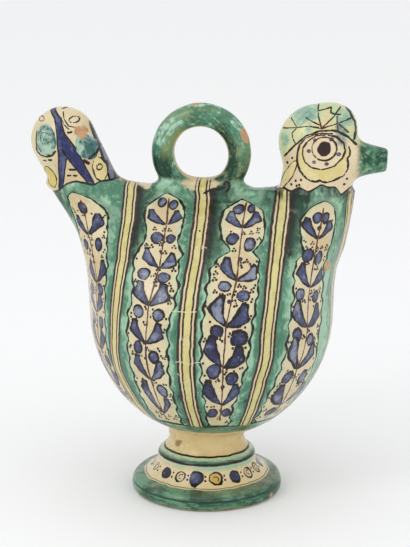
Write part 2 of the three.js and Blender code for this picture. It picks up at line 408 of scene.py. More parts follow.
# Leaves: panel, foot and tip as side and height, half width, and depth of blue
PANEL_LEAVES = [
    (0, 7.8, 98.9, -8.6, 112.0, 4.3, 0.55), (0, 9.8, 99.0, 17.8, 112.4, 4.3, 0.6),
    (0, 8.1, 57.4, -7.0, 72.3, 4.2, 0.45), (0, 8.5, 57.5, 20.1, 67.8, 5.2, 0.35),
    (0, 2.2, 26.6, -9.8, 42.2, 5.2, 0.2), (0, 2.9, 26.7, 16.5, 40.5, 5.8, 0.25),
    (0, 0.0, -3.6, -12.6, 11.9, 4.4, 0.6), (0, 0.7, -3.5, 13.8, 10.0, 5.2, 0.35),
    (0, -1.8, -35.4, -11.3, -16.3, 4.2, 0.6), (0, -0.8, -35.2, 13.0, -19.9, 4.2, 0.4),
    (0, -5.8, -70.7, -11.5, -37.8, 4.0, 0.5), (0, -4.6, -71.9, 7.6, -52.5, 2.8, 0.5),
    (1, 3.2, 98.0, -9.4, 113.0, 4.4, 0.4), (1, 4.0, 98.0, 16.3, 113.1, 4.8, 0.3),
    (1, 4.0, 49.8, -7.8, 66.4, 4.6, 0.5), (1, 4.6, 49.8, 20.3, 58.3, 5.6, 0.25),
    (1, -2.2, 13.5, -10.6, 34.6, 6.2, 0.05), (1, -1.5, 13.2, 15.2, 25.7, 6.4, 0.8),
    (1, -4.0, -19.0, -15.5, 2.9, 5.6, 0.75), (1, -3.2, -19.4, 11.9, -6.6, 6.2, 0.9),
    (1, -0.3, -56.0, -16.5, -33.9, 5.2, 0.75), (1, 0.8, -56.6, 11.1, -37.2, 4.4, 0.65),
    (2, -1.9, 86.3, -16.0, 109.1, 4.4, 0.75), (2, 0.3, 86.1, 11.6, 103.1, 4.6, 0.5),
    (2, -1.7, 38.5, -14.7, 60.2, 4.6, 0.55), (2, -0.1, 37.8, 13.6, 50.0, 4.8, 0.5),
    (2, -3.7, 3.8, -17.0, 25.8, 5.6, 0.4), (2, -2.5, 3.3, 13.0, 17.0, 5.2, 0.55),
    (2, -7.8, -29.2, -20.1, -5.2, 6.0, 0.25), (2, -6.4, -29.5, 8.8, -14.0, 5.0, 0.4),
    (2, 1.1, -65.5, -17.0, -46.0, 6.0, 0.3), (2, 3.5, -66.0, 17.0, -49.4, 4.4, 0.3),
    (7, 6.6, 81.5, -6.0, 98.5, 4.6, 0.7), (7, 8.6, 81.9, 21.8, 103.7, 5.4, 0.75),
    (7, 15.4, 35.6, 3.6, 51.5, 4.6, 0.5), (7, 16.8, 36.7, 27.2, 55.4, 4.4, 0.75),
    (7, 11.0, 8.6, -2.0, 25.0, 4.6, 0.6), (7, 11.9, 8.6, 22.3, 24.3, 4.4, 0.55),
    (7, 10.5, -22, -2.0, -4.0, 4.6, 0.55), (7, 11.5, -22, 22.0, -6.0, 4.4, 0.5),
    (7, 9.5, -54, -1.0, -36, 4.2, 0.55), (7, 10.5, -54, 19.0, -38, 4.0, 0.6),
]
# Berries and buds: panel, middle, half width and half height, and depth of blue
PANEL_BERRIES = [
    (0, 1.3, 124.0, 3.7, 6.0, 0.55), (0, 11.2, 121.4, 3.4, 5.6, 0.6), (0, 3.0, 85.4, 5.2, 5.8, 0.4),
    (0, 14.4, 84.8, 3.9, 4.7, 0.65), (0, -4.1, 51.8, 5.8, 5.6, 0.3), (0, 12.7, 49.2, 5.6, 4.6, 0.35),
    (0, -6.6, 20.8, 5.0, 5.4, 0.25), (0, 10.6, 19.7, 5.2, 4.9, 0.25), (0, -7.3, -8.0, 3.9, 5.5, 0.7),
    (0, 6.7, -14.0, 5.0, 5.6, 0.6), (0, 5.6, -45.0, 4.8, 6.4, 0.35), (1, -1.7, 118.0, 4.7, 5.6, 0.35),
    (1, 8.3, 119.0, 3.4, 4.8, 0.4), (1, -3.1, 87.2, 5.0, 5.8, 0.55), (1, 11.1, 82.5, 4.9, 6.8, 0.4),
    (1, -5.0, 44.4, 5.4, 4.3, 0.4), (1, 10.6, 36.8, 5.0, 5.0, 0.45), (1, -8.8, 9.2, 4.9, 5.4, 0.7),
    (1, 8.3, 4.0, 6.7, 6.8, 0.85), (1, -10.0, -23.1, 5.3, 6.8, 0.5), (1, 4.6, -29.8, 4.7, 6.0, 0.75),
    (1, -6.8, -66.2, 4.6, 6.0, 0.75), (1, 5.2, -66.0, 3.8, 5.2, 0.6), (2, -4.6, 111.0, 4.0, 7.6, 0.6),
    (2, 3.8, 110.6, 3.8, 7.8, 0.6), (2, -8.1, 69.8, 5.6, 7.0, 0.75), (2, 4.1, 65.7, 4.0, 7.2, 0.5),
    (2, -11.4, 33.5, 4.8, 6.0, 0.35), (2, 7.7, 28.0, 4.6, 5.3, 0.6), (2, -14.3, -0.3, 5.0, 6.3, 0.55),
    (2, 0.7, -7.2, 4.4, 4.8, 0.4), (2, -13.4, -35.4, 5.6, 6.0, 0.45), (2, 6.5, -40.0, 5.6, 6.4, 0.3),
    (2, -5.4, -73.0, 5.6, 5.0, 0.35), (7, 5.5, 111.5, 4.4, 7.6, 0.75), (7, 19.5, 72.7, 4.2, 6.7, 0.7),
    (7, 0.5, 70.0, 4.4, 6.0, 0.6), (7, 21.5, 31.0, 4.4, 5.4, 0.6), (7, 4.0, 28.0, 4.6, 5.4, 0.5),
    (7, 2.8, 1.4, 4.6, 5.0, 0.4), (7, 19.5, 2.0, 4.4, 5.0, 0.5), (7, 2.5, -30, 4.4, 5.2, 0.45),
    (7, 18.0, -30, 4.2, 5.2, 0.6), (7, 3.0, -63, 4.0, 4.6, 0.5), (7, 12.0, -63, 3.6, 4.4, 0.5),
    (1, 5.4, 68.0, 1.6, 1.9, 0.7), (1, -0.3, 32.5, 1.6, 1.8, 0.6), (1, -1.6, -37.1, 1.6, 2.0, 0.8),
    (2, -1.3, 98.1, 2.0, 2.6, 1.00),
]
# Rows of leaves in the panels on the far side
FAR_ROWS = {
    3: (90, 50, 15, -20, -56),
    4: (96, 58, 24, -8, -40, -70),
    5: (92, 50, 14, -22, -58),
    6: (94, 55, 20, -12, -46),
}

# Profile of the body: heights, half depths, and lengths along it from the belly
LOWEST, HIGHEST = 48.5, 249.8
profile_z = np.linspace(LOWEST, HIGHEST, 1500)
profile_r = body_section(profile_z, *OUTER_BODY)[2]
profile_q = np.concatenate([[0], np.cumsum(np.hypot(np.diff(profile_z), np.diff(profile_r)))])
profile_q -= np.interp(BELLY_HEIGHT, profile_z, profile_q)
stripe_turns = np.array(STRIPES + [STRIPES[0] + 360])
panel_centres = (stripe_turns[:-1] + stripe_turns[1:]) / 2


# Turn about the body, height along its profile, and the length of one degree of turn
def body_place(p):
    z = p[..., 2]
    tail, breast, _, _ = body_section(np.clip(z, LOWEST, HIGHEST - 0.3), *OUTER_BODY)
    low = np.minimum(tail, BELLY_RADIUS)
    x = p[..., 0] - BODY_AXIS
    reach = np.where(x < 0, tail, breast)
    near = 0.72 * low
    span = np.abs(x)
    span = np.where(span > near, near + (span - near) * (low - near) / np.maximum(reach - near, 1), span)
    turn = np.degrees(np.arcsin(np.clip(span / low, 0, 1)))
    end_turn = 90 - np.degrees(np.abs(p[..., 1]) / low)
    turn = np.sign(x) * (turn + smoothstep(turn, 67, 83) * (end_turn - turn))
    height = np.interp(z, profile_z, profile_q)
    turn = turn * (1 + 0.22 * smoothstep(-height, 10, 80) * (1 - (turn / 90) ** 2))
    turn = np.where(p[..., 1] < 0, turn, 180 - turn)
    return turn, height, np.radians(1) * low


def panel_of(turn):
    wrapped = STRIPES[0] + (turn - STRIPES[0]) % 360
    return np.clip(np.searchsorted(stripe_turns, wrapped, side="right") - 1, 0, PANELS - 1)


def side_of(turn, panel):
    return (turn - panel_centres[panel] + 180) % 360 - 180


# Distance inside the scalloped border of a panel
def panel_border(side, height, panel):
    side, height, panel = np.broadcast_arrays(side, height, panel)
    room = np.full(side.shape, -99.0)
    for k in range(PANELS):
        mine = panel == k
        left, right = PANEL_EDGES.get(k, ([(h, -w) for h, w in PLAIN_EDGE], PLAIN_EDGE))
        s, h = side[mine], height[mine]
        wave = lambda turned: np.sin(h * 0.43 + k * 1.9 + turned) + 0.35 * np.sin(h * 0.77 + 2 * turned)
        fade = 1 - 0.85 * smoothstep(h, 55, 95)
        low_edge = from_table(h, left) - 0.95 * fade * wave(0)
        high_edge = from_table(h, right) + 0.95 * fade * wave(2.2)
        within_sides = np.minimum(s - low_edge, high_edge - s)
        room[mine] = np.minimum(within_sides, np.minimum(h - PANEL_FLOOR, left[-1][0] - h))
    return room


# Regions, each positive inside its own painted area
TAIL_EDGE = [
    (-140, 240), (-128, 241), (-120, 245), (-114.4, 247.5), (-108.6, 252.9), (-100, 255.6), (-90, 253.7),
    (-86, 253), (-82, 255.4), (-74, 255.4), (-66, 257),
]
HEAD_EDGE = [
    (54, 250), (61.5, 255), (69.2, 253.4), (76, 257), (82.4, 254), (87.3, 256.6), (92.7, 260.4), (97, 257.7),
    (103.3, 257.4), (107.4, 251), (113.2, 255), (125, 256),
]
BROW = [
    (58, 272), (62.3, 279), (72, 289.7), (79.8, 296.6), (89.5, 300.6), (100, 301.1), (104.3, 300),
    (110.6, 295.9), (117.5, 289),
]
TAIL_BAND = [
    (-127, 314), (-124.8, 309.8), (-118, 303.2), (-115.4, 292.8), (-114.2, 276), (-114.5, 268), (-114.8, 246),
    (-112, 246), (-109.9, 262), (-107.6, 274.5), (-101.1, 266.1), (-90.6, 253.7), (-88, 248), (-84, 248),
    (-86.3, 253.5), (-93.4, 267.1), (-101, 281.7), (-109.4, 292.9), (-113.4, 303.4), (-120.6, 309.9),
    (-122, 314),
]
TAIL_SIDE = [
    (-96, 306), (-90, 292), (-82.3, 273.8), (-76, 256), (-74.5, 250), (-71, 250), (-72.3, 256), (-78.6, 274),
    (-86.4, 292.3), (-92, 306),
]
EYE_RING = [
    (81.3, 292.7), (77.8, 287.5), (77.6, 282.4), (79.6, 277), (84.8, 273.1), (92.5, 271.7), (102, 274.1),
    (108, 279.9), (109.9, 285.2), (108.5, 291), (103, 296.3), (95, 298.2), (87.5, 297.2), (81.3, 292.7),
]
FLOWER = [
    (75, 289.5), (73.6, 284), (73.3, 279.7), (73.9, 274.2), (76, 269.5), (79.4, 266.1), (81.6, 264),
    (85, 262.7), (88.5, 262.3), (91.6, 263.4), (93.2, 262.3), (97, 261.8), (100.1, 262.4), (105.3, 264.4),
    (108.6, 266), (110.3, 268.1), (111.8, 271.6), (112.1, 275.5), (111.4, 279.4), (113.2, 281.4),
    (113.4, 284.5), (112.4, 288.1),
]


def tail_region(p):
    edge = from_table(p[..., 0], TAIL_EDGE)
    return np.minimum(p[..., 2] - edge, -(p[..., 0] + 70) + 0.3 * (p[..., 2] - 255))


def head_region(p):
    return np.minimum(p[..., 2] - from_table(p[..., 0], HEAD_EDGE), p[..., 0] - 55)


# Distance inside a closed outline, negative outside it
def inside_outline(x, z, outline):
    ends = np.array(outline, float)
    gap = np.full(x.shape, np.inf)
    within_it = np.zeros(x.shape, bool)
    for a, b in zip(ends, np.roll(ends, -1, axis=0)):
        run = b - a
        t = np.clip(((x - a[0]) * run[0] + (z - a[1]) * run[1]) / max(run @ run, 1e-9), 0, 1)
        gap = np.minimum(gap, np.hypot(x - a[0] - t * run[0], z - a[1] - t * run[1]))
        if a[1] != b[1]:
            crossing = (a[1] > z) != (b[1] > z)
            within_it ^= crossing & (x < a[0] + (z - a[1]) * run[0] / run[1])
    return np.where(within_it, gap, -gap)


# Charts: eight panels, near and far side of head and tail, the ring's seat, and the foot
CHARTS = PANELS + 6
HEAD_NEAR, HEAD_FAR, TAIL_NEAR, TAIL_FAR, SEAT, FOOT = range(PANELS, CHARTS)
INSIDE, UNPAINTED = -1, -2
# Value of a field well outside its painted area
OUTSIDE = -9.0
chart = panel_of(body_place(middles)[0])
far_side = middles[:, 1] > 0
chart = np.where((middles[:, 2] > 246.5) & ~far_side, SEAT, chart)
chart = np.where(head_region(middles) > -1.5, np.where(far_side, HEAD_FAR, HEAD_NEAR), chart)
chart = np.where(tail_region(middles) > -1.5, np.where(far_side, TAIL_FAR, TAIL_NEAR), chart)
chart = np.where(middles[:, 2] < 40, FOOT, chart)
chart = np.where(outer_field(middles) < -2.5, INSIDE, chart)


# Surfaces with no brushwork: the filling mouth, and the bare clay of the bores and of the underside
def mouth_region(p):
    off = np.hypot(p[..., 0] - MOUTH[0], p[..., 1] - MOUTH[1])
    return np.where(p[..., 2] > 190, 20.5 - off, OUTSIDE)


def unglazed(p):
    x, y, z = p[..., 0], p[..., 1], p[..., 2]
    recess = np.where(z < 46, np.interp(z, RECESS_HEIGHTS, RECESS_RADII) + 2.4 - np.hypot(x, y), OUTSIDE)
    underside = np.maximum(recess, 1.6 - z)
    mouth = np.minimum(13.6 - np.hypot(x - MOUTH[0], y - MOUTH[1]), np.where(z > 190, 231 - z, OUTSIDE))
    spout = np.where(x > 99, np.minimum(5.7 - np.hypot(y, z - BEAK_HEIGHT), BEAK_END - 3 - x), OUTSIDE)
    return smoothstep(np.maximum(np.maximum(underside, mouth), spout), 0, 1.2)


chart = np.where((mouth_region(middles) > 0) | (unglazed(middles) > 0.5), UNPAINTED, chart)

# Millimetres for each degree of turn about the foot
FRIEZE_SCALE = 0.74
place = np.zeros((face_count, 3, 2))
at = points[corners]
turn_at, height_at, scale_at = body_place(at)
on_body = (chart >= 0) & (chart < PANELS)
panel = np.where(on_body, chart, 0)
place[..., 0] = side_of(turn_at, panel[:, None]) * scale_at
place[..., 1] = height_at
on_top = (chart >= HEAD_NEAR) & (chart <= SEAT)
place[on_top] = at[on_top][..., [0, 2]]
on_foot = chart == FOOT
around_foot = np.degrees(np.arctan2(at[..., 0], -at[..., 1]))
behind = (around_foot.max(1) - around_foot.min(1) > 180)[:, None] & (around_foot < 0)
around_foot = around_foot + 360 * behind
place[on_foot] = np.stack([around_foot * FRIEZE_SCALE, (at[..., 2] - 15.5) * 1.3], axis=-1)[on_foot]
place_mid = place.mean(1)

# Brushwork: leaves, rounds and lines, each in a chart
GREEN, YELLOW, LEMON, CREAM_TONE, PLAIN, INK = 2.0, 3.0, 3.25, 3.6, 5.0, -1.0
leaves, rounds, lines = [], [], []
hand = np.random.default_rng(11)


def leaf(where, base, tip, half_width, tone):
    leaves.append((where, *base, *tip, math.copysign(half_width, tip[0] - base[0]), tone))


def blob(where, middle, across, up, tone):
    rounds.append((where, *middle, across, up, tone))


def line(where, path, half_width):
    for a, b in zip(path[:-1], path[1:]):
        lines.append((where, *a, *b, half_width))


def loop(where, middle, across, up, half_width):
    angles = np.radians(np.linspace(0, 360, 33))
    line(where, [(middle[0] + across * math.cos(a), middle[1] + up * math.sin(a)) for a in angles], half_width)


for where, *numbers in PANEL_LEAVES:
    leaf(where, numbers[0:2], numbers[2:4], 0.93 * numbers[4], numbers[5])
for where, *numbers in PANEL_BERRIES:
    blob(where, numbers[0:2], 0.92 * numbers[2], 0.92 * numbers[3], numbers[4])
for where, rows in FAR_ROWS.items():
    for height in rows:
        size = 1.0 if height > -25 else 1.0 + 0.006 * (height + 25)
        shift = hand.uniform(-1.5, 1.5)
        for side in (-1, 1):
            lean = math.radians(hand.uniform(36, 52))
            length = size * hand.uniform(18, 21)
            tip = (shift + side * length * math.sin(lean), height + length * math.cos(lean))
            base, half = (shift + side * 0.6, height), size * hand.uniform(4.4, 5.8)
            leaf(where, base, tip, half, hand.uniform(0.1, 0.9))
            spot = (shift + side * size * hand.uniform(8, 10), height - size * hand.uniform(5, 9))
            across, up = size * hand.uniform(4.4, 5.6), size * hand.uniform(4.6, 5.8)
            blob(where, spot, across, up, hand.uniform(0.2, 0.9))
    for side in (-1, 1):
        blob(where, (side * 4.8, rows[0] + 24), 3.8, 5.8, hand.uniform(0.3, 0.7))
    PANEL_STEMS[where] = [(hand.uniform(-1, 1), h) for h in (rows[0] + 30,) + rows + (PANEL_FLOOR + 5,)]
STEM_HALF = 0.66
for where, path in PANEL_STEMS.items():
    line(where, path, STEM_HALF)

# Small dots fill the open ground of each panel
for where in range(PANELS):
    taken = [
        (0.5 * (s[1] + s[3]), 0.5 * (s[2] + s[4]), 0.5 * math.hypot(s[3] - s[1], s[4] - s[2]) * 0.8)
        for s in leaves if s[0] == where
    ]
    taken += [(s[1], s[2], max(s[3], s[4])) for s in rounds if s[0] == where]
    taken = np.array(taken)
    for height in np.arange(-80, 112, 5.4):
        for side in np.arange(-26, 30, 6.2):
            spot = np.array([side + hand.uniform(-1.8, 1.8), height + hand.uniform(-1.6, 1.6)])
            if hand.uniform() < 0.3:
                continue
            for shift in ((0, 0), (2.1, 0.3), (0.9, 2.1)):
                dot = spot + shift + hand.uniform(-0.3, 0.3, 2)
                clear = (np.hypot(*(taken[:, :2] - dot).T) - taken[:, 2]).min()
                if clear > 1.1 and panel_border(*dot, where) > 2.0:
                    blob(where, tuple(dot), 0.95, 1.08, INK)

# Lines of the head and crest: half width and path
HEAD_LINES = [
    (0.56, [(73.9, 283.2), (75, 289.5), (79.9, 295.4), (87.5, 298.6), (99.7, 298.9)]),
    (0.7, [(84, 298), (92, 299), (99.7, 298.6)]),
    (0.54, [(91.6, 302.6), (81.6, 304.1), (72.7, 302.4), (61, 300.3)]),
    (0.54, [(72.7, 302.4), (67.1, 307.8)]),
    (0.58, [(72.1, 301.9), (68.9, 297.9), (69.6, 293.8), (72.1, 290.4)]),
    (0.5, [(89.8, 304.9), (78.8, 309.8)]),
    (0.6, [(91.6, 302.6), (88.6, 311), (87.2, 319)]),
    (0.62, [(87.7, 314.3), (97.5, 316.9), (97.8, 313.3), (101.4, 311.9), (105.1, 312)]),
    (0.58, [(91.6, 302.6), (100.4, 310.9), (104.5, 317)]),
    (0.58, [(91.6, 302.6), (103.4, 305.8), (112.5, 308.8)]),
    (0.62, [(102.5, 310.8), (103.8, 300.9)]),
    (0.52, [(103.9, 305.7), (111.4, 298.8)]),
    (0.8, [(105, 320), (111.4, 313.6), (115.6, 306), (116.6, 299.5), (115.8, 293)]),
]
for where in (HEAD_NEAR, HEAD_FAR):
    for half_width, path in HEAD_LINES:
        line(where, path, half_width)
    eye = (94.2, 287.4)
    blob(where, eye, 4.9, 5.2, INK)
    loop(where, eye, 9.3, 9.0, 0.7)
    line(where, EYE_RING, 0.74)
    line(where, FLOWER, 0.78)
    line(where, BROW[1:], 0.74)
    for spot in ((87.1, 294), (99.4, 294.6), (82.6, 285.6), (86.8, 277.2), (96.3, 275.8), (105, 283)):
        blob(where, spot, 1.5, 1.3, 0.6)
    leaf(where, (59.8, 254), (72.7, 277), 3.3, CREAM_TONE)
    for spot in (
        (69.4, 278.9), (65.2, 274.5), (69, 258.4), (72.5, 261.8), (76.8, 262.9), (75.5, 258.9), (73.5, 258),
        (111.4, 263.3), (109.4, 259)
    ):
        blob(where, spot, 0.95, 1.0, INK)

# Lines of the tail: half width and path
TAIL_LINES = [
    (0.8, [(-111, 281), (-108.3, 275.2)]),
    (0.75, [(-133.4, 280), (-133, 277.4), (-129.9, 274.3), (-124.6, 273.4), (-119.4, 275.6), (-116.7, 279)]),
    (0.42, [(-114.4, 309.9), (-109.7, 311), (-103.2, 309.6), (-97.3, 306.4), (-93.1, 301.4)]),
    (0.4, [(-112.6, 308), (-110.8, 303.2), (-106.7, 298.4), (-102, 297.2)]),
    (0.36, [(-113.2, 304.6), (-110.4, 299.6), (-106, 295.6)]),
    (0.5, [(-133.1, 293.5), (-133.6, 285), (-132.7, 277.8)]),
    (0.8, [(-84.6, 283), (-85.8, 277.2), (-90.5, 273)]),
    (1.1, [(-94.4, 271.4), (-90.8, 269.4)]),
]
for where in (TAIL_NEAR, TAIL_FAR):
    for half_width, path in TAIL_LINES:
        line(where, path, half_width)
    leaf(where, (-125.0, 273.4), (-124.4, 299.5), 8.6, GREEN + 0.3)
    loop(where, (-125.5, 288.3), 3.8, 4.5, 0.4)
    blob(where, (-130.2, 302.2), 2.6, 1.7, PLAIN)
    loop(where, (-103.4, 302.6), 3.6, 2.2, 0.55)
    leaf(where, (-99, 292), (-87.5, 272.5), 7.0, GREEN + 0.5)
    leaf(where, (-85.8, 273.6), (-80.2, 255.6), 4.9, CREAM_TONE)
    loop(where, (-83.3, 266), 1.9, 2.2, 0.6)
    leaf(where, (-126.6, 265.4), (-118.6, 249.5), 4.6, LEMON)
    blob(where, (-120.6, 255.4), 1.0, 1.3, INK)
    for x, z in (
        (-126.6, 270.2), (-121.8, 271.2), (-104.5, 264.5), (-101.6, 264.6), (-105.8, 259.8), (-101.2, 259.8),
        (-105.5, 293.6)
    ):
        line(where, [(x - 1.2, z), (x + 1.2, z + 0.1)], 0.75)

# Dark hook by the ring's seat, and scratches and a fleck on the middle stripe
line(SEAT, [(0.6, 247.6), (3.4, 249.6), (6.8, 250.6), (12.5, 251.4), (15, 252.2)], 1.15)
line(SEAT, [(15.0, 254.6), (16.7, 256.4), (18.6, 255.4), (19.2, 253.2), (18.6, 250.6), (17.2, 249.4)], 1.0)
SCRATCH = 0.3
line(0, [(24.5, -16), (28, -15), (33, -16.5)], SCRATCH)
line(1, [(-32.5, -16.2), (-29, -17), (-25, -15.3), (-20.7, -15)], SCRATCH)
line(0, [(20, 23.8), (33, 23.5)], SCRATCH)
line(1, [(-33, 23.5), (-24.6, 24)], SCRATCH)
blob(1, (-29.4, 94), 0.8, 0.9, INK)

# Frieze of the foot: drops, buds and rings by turns
FRIEZE = [
    (-63.8, 2.9, 3.3, PLAIN), (-40.4, 4.0, 4.1, 0.85), (-21.1, 3.7, 3.9, PLAIN), (-2.8, 4.7, 5.2, 0.75),
    (18.8, 4.6, 4.6, YELLOW), (40.9, 4.2, 4.2, 0.9), (60.0, 3.8, 4.1, PLAIN), (78, 3.4, 3.9, PLAIN),
    (97, 4.3, 4.6, 0.8), (118, 4.2, 4.2, YELLOW), (139, 4.3, 4.4, 0.85), (159, 3.8, 4.0, PLAIN),
    (179, 4.4, 4.7, 0.75), (-161, 4.3, 4.4, YELLOW), (-141, 4.2, 4.3, 0.85), (-121, 3.8, 4.0, PLAIN),
    (-102, 4.3, 4.5, 0.8), (-83, 4.0, 4.2, YELLOW),
]
for turn, across, up, tone in FRIEZE:
    middle = turn * FRIEZE_SCALE
    blob(FOOT, (middle, 7.6), 1.1 * across, 1.08 * up, tone)
    if tone == YELLOW:
        line(FOOT, [(middle - 2.2, 8.4), (middle + 0.4, 9.2), (middle + 2.2, 7.4), (middle + 1.4, 5.2)], 0.35)
    if tone == PLAIN:
        line(FOOT, [(middle + 1.4, 9.4), (middle - 1.2, 9), (middle - 1.4, 6.6), (middle + 0.6, 5.6)], 0.4)
    for h in (5.8, 9.4):
        blob(FOOT, (middle + across + 2.7, h), 0.85, 0.95, INK)


# Each face takes the brush stroke nearest to it, and its corners take their place in that stroke
def stroke_places(strokes, distance, local):
    result = np.tile(np.array([9.0, 9.0, 0.0]), (face_count, 3, 1))
    table = np.array(strokes)
    for where in range(CHARTS):
        mine = table[table[:, 0] == where]
        faces = np.flatnonzero(chart == where)
        if len(mine) == 0 or len(faces) == 0:
            continue
        nearest = np.full(len(faces), np.inf)
        chosen = np.zeros(len(faces), int)
        for number, stroke in enumerate(mine):
            gap = distance(place_mid[faces], stroke)
            closer = gap < nearest
            nearest[closer] = gap[closer]
            chosen[closer] = number
        result[faces] = local(place[faces], mine[chosen][:, None, :])
    return result


def along_across(p, s):
    run = np.stack([s[..., 3] - s[..., 1], s[..., 4] - s[..., 2]], axis=-1)
    length = np.maximum(np.linalg.norm(run, axis=-1), 1e-6)
    x, y = p[..., 0] - s[..., 1], p[..., 1] - s[..., 2]
    along = (x * run[..., 0] + y * run[..., 1]) / length
    across = (y * run[..., 0] - x * run[..., 1]) / length
    return along, across, length


def leaf_distance(p, s):
    along, across, length = along_across(p, s)
    end = np.maximum(np.maximum(-along, along - length), 0)
    half = abs(s[5]) * np.clip(along / length * 1.35, 0.05, 1)
    return np.hypot(end, np.maximum(np.abs(across) - half, 0)) + 0.01 * np.abs(across)


def leaf_local(p, s):
    along, across, length = along_across(p, s)
    return np.stack([along / length, across / s[..., 5], np.broadcast_to(s[..., 6], along.shape)], axis=-1)


def round_distance(p, s):
    reach = np.hypot((p[..., 0] - s[1]) / s[3], (p[..., 1] - s[2]) / s[4])
    return (reach - 1) * min(s[3], s[4])


def round_local(p, s):
    x, y = (p[..., 0] - s[..., 1]) / s[..., 3], (p[..., 1] - s[..., 2]) / s[..., 4]
    return np.stack([x, y, np.broadcast_to(s[..., 5], x.shape)], axis=-1)


def line_distance(p, s):
    along, across, length = along_across(p, s)
    return np.hypot(np.maximum(np.maximum(-along, along - length), 0), across) - s[5]


def line_local(p, s):
    along, across, length = along_across(p, s)
    beyond = np.maximum(np.maximum(-along, along - length), 0)
    return np.stack([across, beyond, np.broadcast_to(s[..., 5], along.shape)], axis=-1)


def corner_vectors(name, values):
    made = carved.attributes.new(name, "FLOAT_VECTOR", "CORNER")
    made.data.foreach_set("vector", values.astype(np.float32).ravel())


def point_values(name, values):
    made = carved.attributes.new(name, "FLOAT", "POINT")
    made.data.foreach_set("value", values.astype(np.float32))


corner_vectors("leaf", stroke_places(leaves, leaf_distance, leaf_local))
corner_vectors("round", stroke_places(rounds, round_distance, round_local))
corner_vectors("line", stroke_places(lines, line_distance, line_local))

# Fields of the painted areas, at each point
turn, height, scale = body_place(points)
own_panel = panel_of(turn)
side = side_of(turn, own_panel)
stripe = np.full(vertex_count, np.inf)
for number, middle in enumerate(STRIPES):
    breadth = np.interp(height, STRIPE_HEIGHTS, STRIPE_WIDTHS.get(number, PLAIN_WIDTHS))
    lean = from_table(height, STRIPE_LEANS.get(number, [(0, 0)]))
    off = ((turn - middle + 180) % 360 - 180) * scale - lean
    stripe = np.minimum(stripe, np.abs(off) / breadth)
point_values("stripe", stripe)
point_values("border", panel_border(side * scale, height, own_panel))
point_values("lee", side * scale)
point_values("rise", height)
point_values("tail_area", tail_region(points))
point_values("head_area", head_region(points))
px, py, pz = points.T
for name, outline in (("band", TAIL_BAND), ("side_band", TAIL_SIDE)):
    depth_in = np.maximum(inside_outline(px, pz, outline), OUTSIDE)
    point_values(name, np.where(tail_region(points) > -3, depth_in, OUTSIDE))
petals = np.minimum(inside_outline(px, pz, FLOWER), -inside_outline(px, pz, EYE_RING))
point_values("petals", np.where(head_region(points) > -2, petals, OUTSIDE))
point_values("crest", np.where(head_region(points) > -2, pz - from_table(px, BROW), OUTSIDE))
ring_out = np.hypot(px - RING_CENTRE[0], pz - RING_CENTRE[2]) - RING_RADIUS
ring_gap = np.hypot(ring_out, py)
point_values("ring_area", np.minimum(12 - ring_gap, pz - 257))
point_values("ring_turn", np.degrees(np.arctan2(px - RING_CENTRE[0], pz - RING_CENTRE[2])))
point_values("ring_out", np.where(ring_gap < 14, ring_out, 0))
point_values("ring_rim", np.where(ring_gap < 13, -ring_out - 0.35 * np.abs(py), OUTSIDE))
inner = unglazed(points)
inner[corners[chart == INSIDE].ravel()] = 1
point_values("mouth", mouth_region(points))
point_values("inner", inner)


# Soft spots of colour, as middle, radius and strength
def soft_spots(spots, x, z):
    return sum(s * np.exp(-(((x - cx) / r) ** 2) - ((z - cz) / r) ** 2) for cx, cz, r, s in spots)


CREST_SPOTS = [
    (74, 310, 9, 0.85), (83, 313, 6, 0.7), (105, 307, 6, 1.0), (64, 292, 5, 1.1), (111, 305, 5, 0.7),
    (83, 302, 5, 0.6), (94, 312, 6, -1.2), (65, 303, 7, -0.8), (98, 305, 5, -0.9),
]
point_values("crest_tint", soft_spots(CREST_SPOTS, px, pz))
STAIN_SPOTS = [(-20.5, 43.2, 3.2, 1.3), (-17.5, 45.5, 2.2, 0.8), (22, 51, 2.5, 0.6), (12, 40, 2.0, 0.5)]
point_values("stain", np.where(py < 0, soft_spots(STAIN_SPOTS, px, pz), 0))
SMUDGE_SPOTS = [(106.5, 300, 5, 1.1), (107, 292, 4.4, 0.8), (111, 287, 4, 0.5), (104, 305, 4, 0.6)]
point_values("smudge", soft_spots(SMUDGE_SPOTS, px, pz))

# Patches where the glaze has come off, as middle and half sizes
BARE_PATCHES = [
    (-9, -2, 317, 5, 5, 3), (31, -4, 293, 3.5, 6, 8), (6, 0, 299, 7, 6, 2.4), (99.5, -35, 198, 3.6, 8, 5),
    (-96.6, -20, 294.4, 7.6, 14, 7.8), (-62, 0, 256, 10, 7, 3), (-30, 30, 300, 4, 5, 5),
    (60, 60, 215, 6, 6, 5), (-58, 78, 120, 5, 5, 4), (56, -24, 4, 3, 3, 2), (-20, 57, 6, 4, 3, 2),
]
bare = np.full(vertex_count, -2.0)
for cx, cy, cz, rx, ry, rz in BARE_PATCHES:
    bare = np.maximum(bare, 1 - np.sqrt(((px - cx) / rx) ** 2 + ((py - cy) / ry) ** 2 + ((pz - cz) / rz) ** 2))
point_values("bare", bare)

# Pale ground on the ridge, beside the tail and about the ring's seat
saddle = pz - np.interp(px, [-74, -61, -46, -40], [256.5, 252.6, 249, 252])
saddle = np.minimum(saddle, np.minimum(px + 75, -44 - px))
seat = np.where(np.abs(py) < 25, 5 - np.hypot((px + 3) / 2.6, pz - 255), OUTSIDE)
point_values("ridge", np.where(ring_gap > 6, np.maximum(saddle, seat), OUTSIDE))


# Colours
def colour(code):
    parts = [int(code[i : i + 2], 16) / 255 for i in (1, 3, 5)]
    return tuple(v / 12.92 if v <= 0.04045 else ((v + 0.055) / 1.055) ** 2.4 for v in parts) + (1.0,)


